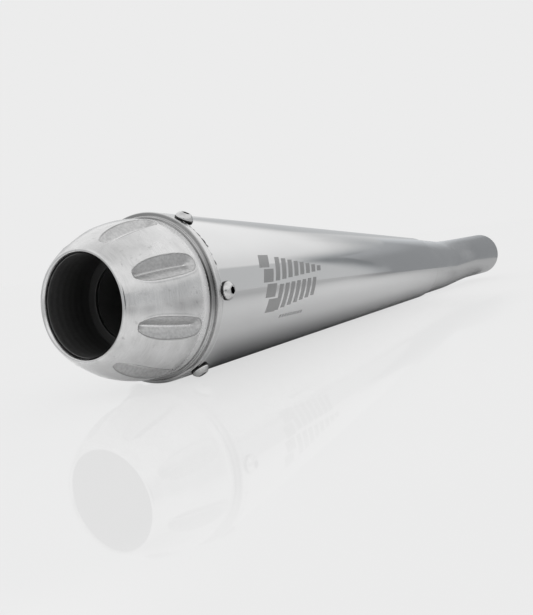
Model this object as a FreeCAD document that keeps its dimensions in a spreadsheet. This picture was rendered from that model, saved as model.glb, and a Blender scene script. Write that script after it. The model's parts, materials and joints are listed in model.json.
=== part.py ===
import FreeCAD, Part
import math
import os

import Sketcher
from FreeCAD import Placement, Rotation, Vector

# A tapered motorcycle silencer, lying on its side the way it rests on a bench. Every sub-part is drawn
# about the silencer's own axis (X, from the flange plane of the end cap towards the inlet) and is then
# placed so that the cone rests along its lowest line and the centre of the inlet mouth is the origin.

doc = FreeCAD.newDocument("Silencer")
dims = doc.addObject("Spreadsheet::Sheet", "Dims")

DIMENSIONS = {
    # rolled cone and its front sleeve
    "cone_radius": 50.2, "cone_taper": 0.0498, "sheet": 1.2, "cone_start": 4.5, "cone_end": 398.0,
    "sleeve_step": 1.25, "sleeve_start": 380.0, "sleeve_end": 487.4, "butt_gap": 1.2, "lap_leg": 1.1,
    # inlet
    "pipe_radius": 22.5, "pipe_wall": 1.5, "elbow_x": 430.0, "pipe_start": 88.6, "pipe_end": 154.0,
    "pipe_sweep": 0.0985, "pipe_edge": 0.4,
    # cast end cap
    "mouth_radius": 27.8, "mouth_x": 52.1, "lip_x": 54.0, "lip_radius": 29.1, "dome_start": 53.4,
    "dome_start_radius": 30.75, "dome_curve": 73.0, "dome_base_x": 2.3, "dome_base_radius": 46.0,
    "step_radius": 47.6, "step_x": 1.1, "bead_radius": 48.0, "bead_x": 0.7, "bead_top": 49.7,
    "rim_curve": 1.1, "rim_x": 0.9, "spigot_gap": 0.1, "spigot_end": 22.0, "spigot_wall": 4.2,
    "pocket_x": 6.0, "pocket_radius": 38.9, "cavity_curve": 66.5, "boss_x": 39.2, "boss_radius": 32.3,
    "boss_end": 8.0, "socket_radius": 25.6, "socket_x": 18.0, "stop_x": 20.0,
    "seal_x": 15.0, "seal_width": 3.0, "seal_bottom": 46.2, "seal_gap": 0.03,
    # leaf-shaped flutes of the end cap
    "flute_x": 28.0, "flute_radius": 43.65, "flute_depth": 4.2, "flute_half": 17.5, "flute_root": 0.5,
    "flute_cutter": 8.0, "flute_flare": 1.5, "flute_count": 8, "flute_tilt": 15.4, "flute_phase": 37.5,
    # screws that hold the end cap
    "screw_x": 9.3, "screw_count": 6, "screw_phase": 30.0, "thread_radius": 3.0, "thread_gap": 0.02,
    "screw_length": 10.0, "head_radius": 5.25, "head_rim": 0.7, "head_height": 3.3, "head_flat": 3.0,
    "head_curve": 4.2, "socket_size": 4.0, "socket_depth": 2.2, "clearance_radius": 3.3,
    "washer_bore": 3.2, "washer_radius": 5.5, "washer_thick": 0.8, "washer_gap": 0.02, "drill_depth": 12.0,
    # perforated core and packing
    "core_radius": 23.8, "core_wall": 1.2, "core_start": 17.5, "core_end": 468.0, "fit_gap": 0.05,
    "perf_radius": 2.5, "perf_start": 40.0, "perf_pitch": 16.0, "perf_rows": 24, "perf_around": 6,
    "core_seal_start": 17.0, "core_seal_end": 9.0, "collar_start": 452.0, "collar_end": 466.0,
    "disc_x": 22.6, "disc_thick": 1.5, "disc_gap": 0.4, "disc_collar": 9.0, "disc_sheet": 1.2,
    "wool_start": 34.0, "wool_end": 395.0, "wool_radius": 27.0, "glass_start": 34.3, "glass_end": 379.0,
    "glass_gap": 0.3, "glass_bore": 27.7, "tie_thick": 0.5, "tie_width": 6.0, "tie_start": 70.0,
    "tie_pitch": 90.0, "tie_count": 4, "tie_gap": 0.05,
    # hanger on the hidden side
    "saddle_start": 160.0, "saddle_end": 226.0, "saddle_thick": 2.0, "saddle_angle": 42.0, "weld_gap": 0.03,
    "tab_x": 193.0, "tab_foot": 25.0, "tab_thick": 4.0, "tab_reach": 17.0, "tab_round": 15.0,
    "bush_seat": 9.0, "bush_lip": 12.0, "bush_half": 7.0, "tube_radius": 6.0, "tube_bore": 4.2,
    "tube_half": 8.0, "bead_leg": 3.0,
}


class Size:
    """A number together with the spreadsheet expression that gives it."""

    def __init__(self, value, text):
        self.value = float(value)
        self.text = text

    def combine(self, sign, other, value):
        return Size(value, "(%s %s %s)" % (self.text, sign, other.text))

    def __add__(self, other):
        other = size(other)
        return self.combine("+", other, self.value + other.value)

    def __sub__(self, other):
        other = size(other)
        return self.combine("-", other, self.value - other.value)

    def __mul__(self, other):
        other = size(other)
        return self.combine("*", other, self.value * other.value)

    def __truediv__(self, other):
        other = size(other)
        return self.combine("/", other, self.value / other.value)

    def __neg__(self):
        return Size(-self.value, "(0 - %s)" % self.text)


def size(number):
    """Turn a plain number into a Size, and leave a Size as it is."""
    if isinstance(number, Size):
        return number
    return Size(number, "%.6f" % number if number >= 0 else "(0 - %.6f)" % -number)


def fill_sheet():
    """Write the driving dimensions into the sheet, and return them by name."""
    sizes = {}
    for row, (name, value) in enumerate(DIMENSIONS.items(), start=1):
        dims.set("A%d" % row, name)
        dims.set("B%d" % row, str(value))
        dims.setAlias("B%d" % row, name)
        sizes[name] = Size(value, "Dims.%s" % name)
    return sizes


D = fill_sheet()
doc.recompute()


def cone(x, outward=0.0):
    """Radius of the outer cone at x, moved outward by the given amount."""
    return D["cone_radius"] - D["cone_taper"] * x + outward


# --- placement at rest ---------------------------------------------------------------------------------

TILT = math.degrees(math.atan(D["cone_taper"].value))
SWEEP = math.degrees(math.atan(D["pipe_sweep"].value * math.cos(math.radians(TILT))))
LYING = Rotation(Vector(0, 1, 0), TILT)
PIPE_TURN = Rotation(Vector(0, 0, 1), -SWEEP)
ELBOW = LYING.multVec(Vector(D["elbow_x"].value, 0, 0))
MOUTH = ELBOW + PIPE_TURN.multVec(Vector(D["pipe_end"].value, 0, 0))
AXIAL = Placement(-MOUTH, LYING)
INLET = Placement(ELBOW - MOUTH, PIPE_TURN)


def turned(angle):
    """The rest placement of a piece that is first turned about the silencer's axis."""
    return AXIAL.multiply(Placement(Vector(0, 0, 0), Rotation(Vector(1, 0, 0), angle)))


AT_SCREWS = turned(D["screw_phase"].value)
AT_HANGER = turned(-90.0)


# --- drawing helpers -----------------------------------------------------------------------------------

def origin_feature(body, role):
    """One of the body's own origin planes or axes."""
    return next(part for part in body.Origin.OriginFeatures if part.Role == role)


def new_body(label, placement):
    """An empty body with its place at rest."""
    body = doc.addObject("PartDesign::Body", label)
    body.Label = label
    body.AllowCompound = True
    body.Placement = placement
    return body


def new_sketch(body, name, plane, offset=None):
    """A sketch on one of the body's origin planes, moved within it by offset."""
    sketch = body.newObject("Sketcher::SketchObject", name)
    sketch.AttachmentSupport = (origin_feature(body, plane), [""])
    sketch.MapMode = "FlatFace"
    if offset is not None:
        sketch.AttachmentOffset = offset
    return sketch


def bind(sketch, kind, references, length):
    """Add a dimension to a sketch and tie it to the sheet."""
    length = size(length)
    index = sketch.addConstraint(Sketcher.Constraint(kind, *references, length.value))
    sketch.setExpression("Constraints[%d]" % index, length.text)


def pin(sketch, side, end, corner):
    """Fix one end of a side at a corner, measured from the sketch's origin."""
    for kind, coordinate, axis in (("DistanceX", corner[0], -2), ("DistanceY", corner[1], -1)):
        if size(coordinate).value == 0.0:
            sketch.addConstraint(Sketcher.Constraint("PointOnObject", side, end, axis))
        else:
            bind(sketch, kind, (-1, 1, side, end), coordinate)


def arc_between(start, finish, radius, sense):
    """An arc that runs from start to finish, with its centre to the left (sense 1) or the right (-1)."""
    chord = finish - start
    middle = (start + finish) * 0.5
    left = Vector(-chord.y, chord.x, 0).normalize()
    height = math.sqrt(max(radius ** 2 - (chord.Length / 2) ** 2, 0.0))
    centre = middle + left * (height * sense)
    angles = [math.atan2(point.y - centre.y, point.x - centre.x) for point in (start, finish)]
    first, last = angles if sense > 0 else angles[::-1]
    if last < first:
        last += 2 * math.pi
    return Part.ArcOfCircle(Part.Circle(centre, Vector(0, 0, 1), radius), first, last)


def half_circle(sketch, side, start, finish):
    """Hold the centre of a half circle on the line between its ends."""
    upright = abs(size(start[0]).value - size(finish[0]).value) < 1e-6
    kind, coordinate = ("DistanceX", start[0]) if upright else ("DistanceY", start[1])
    bind(sketch, kind, (-1, 1, side, 3), coordinate)


def outline(sketch, corners, arcs=None):
    """A closed outline. Arcs give a side's (radius, sense), with None as the radius of a half circle."""
    arcs = arcs or {}
    points = [Vector(size(x).value, size(y).value, 0) for x, y in corners]
    ends = []
    for number, start in enumerate(points):
        finish = points[(number + 1) % len(points)]
        if number in arcs:
            radius, sense = arcs[number]
            reach = (finish - start).Length / 2 if radius is None else radius.value
            side = sketch.addGeometry(arc_between(start, finish, reach, sense))
            ends.append((side, 1, 2) if sense > 0 else (side, 2, 1))
        else:
            side = sketch.addGeometry(Part.LineSegment(start, finish))
            ends.append((side, 1, 2))
    for number, corner in enumerate(corners):
        side, _, finish = ends[number]
        after, begin, _ = ends[(number + 1) % len(corners)]
        sketch.addConstraint(Sketcher.Constraint("Coincident", side, finish, after, begin))
        pin(sketch, ends[number][0], ends[number][1], corner)
        if number in arcs and arcs[number][0] is None:
            half_circle(sketch, side, corner, corners[(number + 1) % len(corners)])
        elif number in arcs:
            bind(sketch, "Radius", (side,), arcs[number][0])


def ring(sketch, radius):
    """A circle about the sketch's origin."""
    side = sketch.addGeometry(Part.Circle(Vector(0, 0, 0), Vector(0, 0, 1), size(radius).value))
    sketch.addConstraint(Sketcher.Constraint("Coincident", side, 3, -1, 1))
    bind(sketch, "Radius", (side,), radius)


def revolve(body, sketch, axis="H_Axis", angle=360.0):
    """Turn a sketch about one of its own axes."""
    feature = body.newObject("PartDesign::Revolution", "%sTurned" % sketch.Name)
    feature.Profile = sketch
    feature.ReferenceAxis = (sketch, [axis])
    feature.Angle = angle
    feature.Midplane = angle < 360.0
    sketch.Visibility = False
    return feature


def pocket(body, sketch, depth, both_ways=False):
    """Cut a sketch into the body, against the sketch's normal."""
    before = body.Shape.Volume
    feature = body.newObject("PartDesign::Pocket", "%sCut" % sketch.Name)
    feature.Profile = sketch
    feature.setExpression("Length", size(depth).text)
    feature.Midplane = both_ways
    doc.recompute()
    if body.Shape.Volume >= before:
        raise ValueError("%s removes nothing" % feature.Name)
    return feature


def repeat_around(body, features, count, angle=360.0):
    """Repeat features about the silencer's axis."""
    pattern = body.newObject("PartDesign::PolarPattern", "%sAround" % features[0].Name)
    pattern.Originals = features
    pattern.Axis = (origin_feature(body, "X_Axis"), [""])
    pattern.Angle = angle
    pattern.setExpression("Occurrences", size(count).text)
    body.Tip = pattern
    doc.recompute()
    return pattern


def turned_piece(label, corners, arcs=None, placement=AXIAL):
    """A piece that is one closed outline turned about the silencer's axis."""
    body = new_body(label, placement)
    sketch = new_sketch(body, "%s_section" % label, "XZ_Plane")
    outline(sketch, corners, arcs)
    revolve(body, sketch)
    return body


def band(start, end, inner, outer):
    """Corners of a plain ring section; inner and outer are radii, or functions of x."""
    at = [bound if callable(bound) else (lambda x, fixed=bound: fixed) for bound in (inner, outer)]
    return [(start, at[0](start)), (end, at[0](end)), (end, at[1](end)), (start, at[1](start))]


def on_cone(x, height=0.0):
    """Place a sketch of the XY plane on the cone at x, square to the surface."""
    return Placement(Vector(x.value, 0, cone(x).value + height), Rotation(Vector(0, 1, 0), TILT))


# --- shell, sleeve and inlet ---------------------------------------------------------------------------

def build_cone_shell():
    """Rolled sheet cone with the six clearance holes of the end cap's screws."""
    inner, outer = D["cone_start"], D["cone_end"]
    section = band(inner, outer, lambda x: cone(x, -D["sheet"]), cone)
    body = turned_piece("cone_shell", section, placement=AT_SCREWS)
    doc.recompute()
    sketch = new_sketch(body, "screw_clearance", "XY_Plane", on_cone(D["screw_x"], 1.0))
    ring(sketch, D["clearance_radius"])
    hole = pocket(body, sketch, D["spigot_wall"])
    repeat_around(body, [hole], D["screw_count"])
    return body


def sleeve_face(x):
    """Outer radius of the front sleeve at x."""
    return cone(x, -D["sleeve_step"])


def build_front_sleeve():
    """Second cone, pushed into the small end of the first and lap welded there."""
    section = band(D["sleeve_start"], D["sleeve_end"], lambda x: sleeve_face(x) - D["sheet"], sleeve_face)
    return turned_piece("front_sleeve", section)


def build_sleeve_weld():
    """Fillet weld round the edge of the shell where the sleeve comes out."""
    edge = D["cone_end"]
    toe = edge + D["lap_leg"]
    corners = [(edge, sleeve_face(edge) + 0.02), (toe, sleeve_face(toe) + 0.02), (edge, cone(edge))]
    return turned_piece("sleeve_weld", corners)


def build_neck_weld():
    """Flush butt weld between the front sleeve and the neck."""
    start = D["sleeve_end"]
    section = band(start, start + D["butt_gap"], lambda x: sleeve_face(x) - D["sheet"], sleeve_face)
    return turned_piece("neck_weld", section)


def neck_ring(body, name, at_pipe, inset):
    """One end of the neck: round the silencer's axis, or round the pipe's axis."""
    if at_pipe:
        local = AXIAL.inverse().multiply(INLET)
        seat = Placement(Vector(D["pipe_start"].value - D["butt_gap"].value, 0, 0), Rotation())
        radius = D["pipe_radius"] - inset
    else:
        local = Placement(Vector(D["sleeve_end"].value + D["butt_gap"].value, 0, 0), Rotation())
        seat = Placement()
        radius = sleeve_face(D["sleeve_end"] + D["butt_gap"]) - inset
    plane = origin_feature(body, "YZ_Plane").Placement
    sketch = new_sketch(body, name, "YZ_Plane", plane.inverse().multiply(local).multiply(seat).multiply(plane))
    ring(sketch, radius)
    return sketch


def build_neck():
    """Formed neck that leads the round sleeve over to the offset inlet pipe."""
    body = new_body("neck", AXIAL)
    for name, kind, inset in (("neck_outside", "PartDesign::AdditiveLoft", size(0.0)),
                              ("neck_inside", "PartDesign::SubtractiveLoft", D["sheet"])):
        loft = body.newObject(kind, name)
        loft.Profile = neck_ring(body, "%s_sleeve" % name, False, inset)
        loft.Sections = [neck_ring(body, "%s_pipe" % name, True, inset)]
        loft.Ruled = True
        doc.recompute()
    return body


def build_pipe_weld():
    """Flush butt weld between the neck and the inlet pipe."""
    end = D["pipe_start"]
    section = band(end - D["butt_gap"], end, D["pipe_radius"] - D["sheet"], D["pipe_radius"])
    return turned_piece("pipe_weld", section, placement=INLET)


def build_inlet_pipe():
    """Straight inlet tube, whose bore slips over the header pipe."""
    inner = D["pipe_radius"] - D["pipe_wall"]
    edge = D["pipe_edge"]
    corners = [(D["pipe_start"], inner), (D["pipe_end"], inner), (D["pipe_end"], D["pipe_radius"] - edge),
               (D["pipe_end"] - edge, D["pipe_radius"]), (D["pipe_start"], D["pipe_radius"])]
    return turned_piece("inlet_pipe", corners, {2: (edge, 1)}, INLET)


# --- cast end cap --------------------------------------------------------------------------------------

def build_end_cap():
    """Domed aluminium casting with its flange, spigot, core socket, flutes and tapped holes."""
    gap = D["sheet"] + D["spigot_gap"]
    start, end = D["cone_start"], D["spigot_end"]
    groove, groove_end = D["seal_x"], D["seal_x"] + D["seal_width"]
    corners = [
        (-D["mouth_x"], D["mouth_radius"]), (-D["stop_x"], D["mouth_radius"]),
        (-D["stop_x"], D["core_radius"] - D["core_wall"]), (-D["socket_x"], D["core_radius"] - D["core_wall"]),
        (-D["socket_x"], D["socket_radius"]), (-D["boss_end"], D["socket_radius"]),
        (-D["boss_end"], D["boss_radius"]), (-D["boss_x"], D["boss_radius"]),
        (D["pocket_x"], D["pocket_radius"]), (D["pocket_x"], cone(end, -gap - D["spigot_wall"])),
        (end, cone(end, -gap - D["spigot_wall"])), (end, cone(end, -gap)),
        (groove_end, cone(groove_end, -gap)), (groove_end, D["seal_bottom"]),
        (groove, D["seal_bottom"]), (groove, cone(groove, -gap)),
        (start, cone(start, -gap)), (start, cone(start)),
        (D["rim_x"], cone(D["rim_x"])), (-0.15, D["bead_top"]),
        (-D["bead_x"], D["bead_radius"]), (-D["step_x"] - 0.8, D["step_radius"]),
        (-D["dome_base_x"], D["step_radius"] - 0.4), (-D["dome_base_x"], D["dome_base_radius"]),
        (-D["dome_start"], D["dome_start_radius"]), (-D["lip_x"], D["lip_radius"]),
    ]
    arcs = {7: (D["cavity_curve"], -1), 18: (D["rim_curve"], 1), 23: (D["dome_curve"], 1),
            24: (D["rim_curve"], 1)}
    body = turned_piece("end_cap", corners, arcs, AT_SCREWS)
    doc.recompute()
    cut_flutes(body)
    drill = new_sketch(body, "tapped_hole", "XY_Plane", on_cone(D["screw_x"]))
    ring(drill, D["thread_radius"] + D["thread_gap"])
    hole = pocket(body, drill, D["drill_depth"])
    repeat_around(body, [hole], D["screw_count"])
    return body


def flute_plane(height):
    """Place a sketch above the middle of a flute, square to the dome; height 0 is the valley."""
    tilt = math.radians(D["flute_tilt"].value)
    outward = height - D["flute_depth"].value
    point = Vector(-D["flute_x"].value - outward * math.sin(tilt), 0,
                   D["flute_radius"].value + outward * math.cos(tilt))
    square = Placement(point, Rotation(Vector(0, 1, 0), -D["flute_tilt"].value))
    return Placement(Vector(0, 0, 0), Rotation(Vector(1, 0, 0), D["flute_phase"].value)).multiply(square)


def slot(sketch, half, radius):
    """A slot with round ends about the sketch's origin."""
    corners = [(-half, -radius), (half, -radius), (half, radius), (-half, radius)]
    outline(sketch, corners, {1: (None, 1), 3: (None, 1)})


def cut_flutes(body):
    """Cut the leaf-shaped flutes: a straight valley with flanks that flare out to the surface."""
    before = body.Shape.Volume
    height = D["flute_cutter"]
    valley = new_sketch(body, "flute_valley", "XY_Plane", flute_plane(0.0))
    slot(valley, D["flute_half"], D["flute_root"])
    mouth = new_sketch(body, "flute_mouth", "XY_Plane", flute_plane(height.value))
    slot(mouth, D["flute_half"], D["flute_root"] + height * D["flute_flare"])
    cutter = body.newObject("PartDesign::SubtractiveLoft", "flute")
    cutter.Profile = valley
    cutter.Sections = [mouth]
    cutter.Ruled = True
    doc.recompute()
    repeat_around(body, [cutter], D["flute_count"])
    if body.Shape.Volume >= before:
        raise ValueError("the flutes remove nothing")


def build_cap_seal():
    """Graphite cord in the spigot's groove, pressed against the shell."""
    start, end, gap = D["seal_x"], D["seal_x"] + D["seal_width"], D["seal_gap"]
    section = band(start + gap, end - gap, D["seal_bottom"] + gap, lambda x: cone(x, -D["sheet"] - gap))
    return turned_piece("cap_seal", section)


# --- screws and washers --------------------------------------------------------------------------------

def screw_sketch(body, name):
    """A sketch whose vertical axis is the first screw's axis, with its origin on the cone."""
    offset = Placement(Vector(D["screw_x"].value, cone(D["screw_x"]).value, 0),
                       Rotation(Vector(0, 0, 1), -TILT))
    return new_sketch(body, name, "XZ_Plane", offset)


def build_cap_washers():
    """Plain washers under the screw heads."""
    body = new_body("cap_washers", AT_SCREWS)
    sketch = screw_sketch(body, "washer_section")
    low, high = D["washer_gap"], D["washer_gap"] + D["washer_thick"]
    outline(sketch, [(D["washer_bore"], low), (D["washer_radius"], low), (D["washer_radius"], high),
                     (D["washer_bore"], high)])
    washer = revolve(body, sketch, "V_Axis")
    doc.recompute()
    repeat_around(body, [washer], D["screw_count"])
    return body


def build_cap_screws():
    """Button-head socket screws."""
    body = new_body("cap_screws", AT_SCREWS)
    sketch = screw_sketch(body, "screw_section")
    seat = D["washer_gap"] * 2 + D["washer_thick"]
    top = seat + D["head_height"]
    outline(sketch, [(0, seat - D["screw_length"]), (D["thread_radius"], seat - D["screw_length"]),
                     (D["thread_radius"], seat), (D["head_radius"], seat),
                     (D["head_radius"], seat + D["head_rim"]), (D["head_flat"], top), (0, top)],
            {4: (D["head_curve"], 1)})
    screw = revolve(body, sketch, "V_Axis")
    doc.recompute()
    socket = new_sketch(body, "hex_socket", "XY_Plane", on_cone(D["screw_x"], top.value))
    corner = D["socket_size"] / math.sqrt(3.0)
    turns = [math.radians(60.0 * side) for side in range(6)]
    outline(socket, [(corner * math.cos(turn), corner * round(math.sin(turn), 9)) for turn in turns])
    recess = pocket(body, socket, D["socket_depth"])
    repeat_around(body, [screw, recess], D["screw_count"])
    return body


# --- core and packing ----------------------------------------------------------------------------------

def build_core_tube():
    """Perforated tube that carries the gas through the packing."""
    inner = D["core_radius"] - D["core_wall"]
    body = turned_piece("core_tube", band(-D["core_start"], D["core_end"], inner, D["core_radius"]))
    doc.recompute()
    sketch = new_sketch(body, "perforation", "XZ_Plane")
    for row in range(int(D["perf_rows"].value)):
        x = D["perf_start"] + D["perf_pitch"] * row
        centre = Vector(x.value, 0, 0)
        side = sketch.addGeometry(Part.Circle(centre, Vector(0, 0, 1), D["perf_radius"].value))
        pin(sketch, side, 3, (x, 0))
        bind(sketch, "Radius", (side,), D["perf_radius"])
    holes = pocket(body, sketch, D["core_radius"] * 3, both_ways=True)
    repeat_around(body, [holes], D["perf_around"], 180.0 * (1 - 1 / D["perf_around"].value))
    return body


def build_core_seal():
    """Wire-mesh ring that lets the core grow inside its socket."""
    gap = D["fit_gap"]
    section = band(-D["core_seal_start"], -D["core_seal_end"], D["core_radius"] + gap,
                   D["socket_radius"] - gap)
    return turned_piece("core_seal", section)


def build_core_collar():
    """Ring that centres the front of the core in the sleeve."""
    gap = D["fit_gap"]
    section = band(D["collar_start"], D["collar_end"], D["core_radius"] + gap,
                   lambda x: sleeve_face(x) - D["sheet"] - gap)
    return turned_piece("core_collar", section)


def build_packing_disc():
    """Flanged disc that keeps the packing off the end cap."""
    bore = D["core_radius"] + D["fit_gap"]
    face, back = D["disc_x"], D["disc_x"] + D["disc_thick"]
    rim = cone(back, -D["sheet"] - D["disc_gap"])
    end = face + D["disc_collar"]
    corners = [(face, bore), (end, bore), (end, bore + D["disc_sheet"]), (back, bore + D["disc_sheet"]),
               (back, rim), (face, rim)]
    return turned_piece("packing_disc", corners)


def build_steel_wool():
    """Steel wool wrapped straight onto the core."""
    section = band(D["wool_start"], D["wool_end"], D["core_radius"] + D["fit_gap"], D["wool_radius"])
    return turned_piece("steel_wool", section)


def build_glass_packing():
    """Glass-fibre packing that fills the cone."""
    section = band(D["glass_start"], D["glass_end"], D["glass_bore"],
                   lambda x: cone(x, -D["sheet"] - D["glass_gap"]))
    return turned_piece("glass_packing", section)


def build_packing_ties():
    """Stainless bands that hold the steel wool on the core."""
    body = new_body("packing_ties", AXIAL)
    sketch = new_sketch(body, "tie_sections", "XZ_Plane")
    inner = D["wool_radius"] + D["tie_gap"]
    for number in range(int(D["tie_count"].value)):
        start = D["tie_start"] + D["tie_pitch"] * number
        outline(sketch, band(start, start + D["tie_width"], inner, inner + D["tie_thick"]))
    revolve(body, sketch)
    return body


# --- hanger --------------------------------------------------------------------------------------------

def build_hanger_saddle():
    """Curved doubler plate that spreads the hanger's load over the thin cone."""
    body = new_body("hanger_saddle", AT_HANGER)
    sketch = new_sketch(body, "saddle_section", "XZ_Plane")
    gap = D["weld_gap"]
    outline(sketch, band(D["saddle_start"], D["saddle_end"], lambda x: cone(x, gap),
                         lambda x: cone(x, gap + D["saddle_thick"])))
    revolve(body, sketch, angle=D["saddle_angle"].value)
    return body


def tab_foot(x):
    """Height of the tab's foot at x, just clear of the saddle."""
    return cone(x, D["weld_gap"] * 2 + D["saddle_thick"])


def bush_height():
    """Height of the hanger hole above the silencer's axis."""
    return cone(D["tab_x"], D["tab_reach"])


def build_hanger_tab():
    """Plate with a round nose and a seat for the rubber bush."""
    body = new_body("hanger_tab", AT_HANGER)
    sketch = new_sketch(body, "tab_outline", "XZ_Plane")
    left, right = D["tab_x"] - D["tab_foot"], D["tab_x"] + D["tab_foot"]
    nose = D["tab_round"]
    outline(sketch, [(left, tab_foot(left)), (right, tab_foot(right)), (D["tab_x"] + nose, bush_height()),
                     (D["tab_x"] - nose, bush_height())], {2: (None, 1)})
    seat = sketch.addGeometry(Part.Circle(Vector(D["tab_x"].value, bush_height().value, 0),
                                          Vector(0, 0, 1), D["bush_seat"].value))
    pin(sketch, seat, 3, (D["tab_x"], bush_height()))
    bind(sketch, "Radius", (seat,), D["bush_seat"])
    plate = body.newObject("PartDesign::Pad", "tab_plate")
    plate.Profile = sketch
    plate.Midplane = True
    plate.setExpression("Length", D["tab_thick"].text)
    return body


def build_tab_welds():
    """Fillet welds along both sides of the tab's foot."""
    body = new_body("tab_welds", AT_HANGER)
    start = D["tab_x"] - D["tab_foot"]
    offset = Placement(Vector(0, tab_foot(start).value + D["weld_gap"].value, start.value),
                       Rotation(Vector(1, 0, 0), TILT))
    sketch = new_sketch(body, "weld_section", "YZ_Plane", offset)
    inner = D["tab_thick"] / 2 + D["weld_gap"]
    outer = inner + D["bead_leg"]
    outline(sketch, [(inner, 0), (outer, 0), (inner, D["bead_leg"])])
    outline(sketch, [(-inner, 0), (-inner, D["bead_leg"]), (-outer, 0)])
    bead = body.newObject("PartDesign::Pad", "weld_runs")
    bead.Profile = sketch
    bead.setExpression("Length", (D["tab_foot"] * 2).text)
    return body


def bush_sketch(body, name):
    """A sketch whose vertical axis is the axis of the hanger hole."""
    offset = Placement(Vector(D["tab_x"].value, 0, bush_height().value), Rotation())
    return new_sketch(body, name, "XY_Plane", offset)


def build_hanger_bush():
    """Grooved rubber bush, pressed into the tab."""
    body = new_body("hanger_bush", AT_HANGER)
    sketch = bush_sketch(body, "bush_section")
    bore, seat, lip = D["tube_radius"] + D["fit_gap"], D["bush_seat"] - D["fit_gap"], D["bush_lip"]
    groove, half = D["tab_thick"] / 2 + D["fit_gap"], D["bush_half"]
    outline(sketch, [(bore, -half), (lip, -half), (lip, -groove), (seat, -groove), (seat, groove),
                     (lip, groove), (lip, half), (bore, half)])
    revolve(body, sketch, "V_Axis")
    return body


def build_hanger_tube():
    """Steel tube inside the rubber bush, for the mounting bolt."""
    body = new_body("hanger_tube", AT_HANGER)
    sketch = bush_sketch(body, "tube_section")
    half = D["tube_half"]
    outline(sketch, [(D["tube_bore"], -half), (D["tube_radius"], -half), (D["tube_radius"], half),
                     (D["tube_bore"], half)])
    revolve(body, sketch, "V_Axis")
    return body


BUILDERS = [
    build_end_cap, build_cap_seal, build_cap_screws, build_cap_washers, build_cone_shell,
    build_front_sleeve, build_sleeve_weld, build_neck_weld, build_neck, build_pipe_weld, build_inlet_pipe,
    build_core_tube, build_core_seal, build_core_collar, build_packing_disc, build_steel_wool,
    build_glass_packing, build_packing_ties, build_hanger_saddle, build_hanger_tab, build_tab_welds,
    build_hanger_bush, build_hanger_tube,
]


def check(parts):
    """Stop if anything in the document failed, or a sub-part has no sound shape."""
    failed = [item.Label for item in doc.Objects if {"Invalid", "Error"} & set(item.State)]
    if failed:
        raise ValueError("failed objects: %s" % ", ".join(failed))
    for part in parts:
        if part.Shape.isNull() or not part.Shape.isValid() or not part.Shape.Solids:
            raise ValueError("%s has no sound shape" % part.Label)


def main():
    parts = [build() for build in BUILDERS]
    doc.recompute()
    check(parts)
    os.makedirs("parts", exist_ok=True)
    for part in parts:
        part.Shape.exportStep("parts/%s.step" % part.Label)
        print("%-14s %2d solids %9.1f mm3" % (part.Label, len(part.Shape.Solids), part.Shape.Volume))


main()
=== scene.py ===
import json
import math

import bmesh
import bpy
import numpy as np
from mathutils import Matrix, Vector


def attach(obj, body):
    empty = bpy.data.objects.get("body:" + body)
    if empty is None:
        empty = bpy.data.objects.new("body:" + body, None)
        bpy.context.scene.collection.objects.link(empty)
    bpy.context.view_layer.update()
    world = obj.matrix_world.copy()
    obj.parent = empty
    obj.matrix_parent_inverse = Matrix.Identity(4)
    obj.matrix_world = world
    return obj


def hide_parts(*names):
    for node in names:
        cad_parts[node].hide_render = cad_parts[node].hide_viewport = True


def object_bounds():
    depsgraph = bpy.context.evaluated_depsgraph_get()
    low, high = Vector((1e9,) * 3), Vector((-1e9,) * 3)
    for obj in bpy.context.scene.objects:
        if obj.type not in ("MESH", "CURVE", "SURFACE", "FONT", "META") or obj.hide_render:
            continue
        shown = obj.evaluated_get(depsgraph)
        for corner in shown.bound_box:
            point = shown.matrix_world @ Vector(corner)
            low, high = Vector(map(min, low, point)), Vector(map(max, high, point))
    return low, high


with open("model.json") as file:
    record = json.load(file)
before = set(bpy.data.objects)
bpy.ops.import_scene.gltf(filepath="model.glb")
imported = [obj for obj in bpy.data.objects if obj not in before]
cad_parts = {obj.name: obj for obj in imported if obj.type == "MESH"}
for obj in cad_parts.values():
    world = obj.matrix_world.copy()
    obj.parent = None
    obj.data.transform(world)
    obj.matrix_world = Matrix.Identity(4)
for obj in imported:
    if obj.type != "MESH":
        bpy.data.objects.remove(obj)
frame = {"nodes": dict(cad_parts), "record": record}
cad_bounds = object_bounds()

# Sizes are in millimetres. "Along" runs on the silencer's axis from the flange to the inlet, and
# angles go round the axis from the side that faces the camera, through the top. Here at the head of
# the script they are in degrees.

MM = 0.001
ROOT = "root"

# The tapered shell, whose radius shrinks by CONE_TAPER per millimetre, and the sleeve that starts
# inside its narrow end, with a surface SLEEVE_STEP under the shell's.
CONE_RADIUS = 50.2
CONE_TAPER = 0.0498
CONE_START = 4.5
CONE_END = 398
CONE_INSET = 0.01
SHEET = 1.2
SLEEVE_START = 380
SLEEVE_STEP = 1.25

# The inlet pipe. Places on its own axis grow towards the inlet, which is at PIPE_LENGTH.
PIPE_RADIUS = 22.5
PIPE_WALL = 1.5
PIPE_LENGTH = 154

# The neck, from BLEND_START on the silencer's axis to BLEND_END on the pipe's.
BLEND_START = 468
BLEND_END = 102
BLEND_PULL = 58
BLEND_RINGS = 41

# The end cap's mouth, and behind it a ring that stops the core tube and a seat that holds it.
MOUTH_RADIUS = 27.8
MOUTH_ALONG = 52.1
RIDGE_PITCH = 4.5
RIDGE_HEIGHT = 0.08
STOP_START = -20
STOP_END = -18
STOP_RADIUS = 22.6
SEAT_END = -8
SEAT_RADIUS = 25.6
SEAT_OUTSIDE = 32.3

# The arc of the end cap's dome, by its centre's along position and radius, and the flange's foot.
DOME_CENTRE = (-8.58, -26.73)
DOME_CURVE = 73
DOME_BASE = -2.3
DOME_TIP = -53.4
FLANGE_FOOT = 46.1

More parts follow.
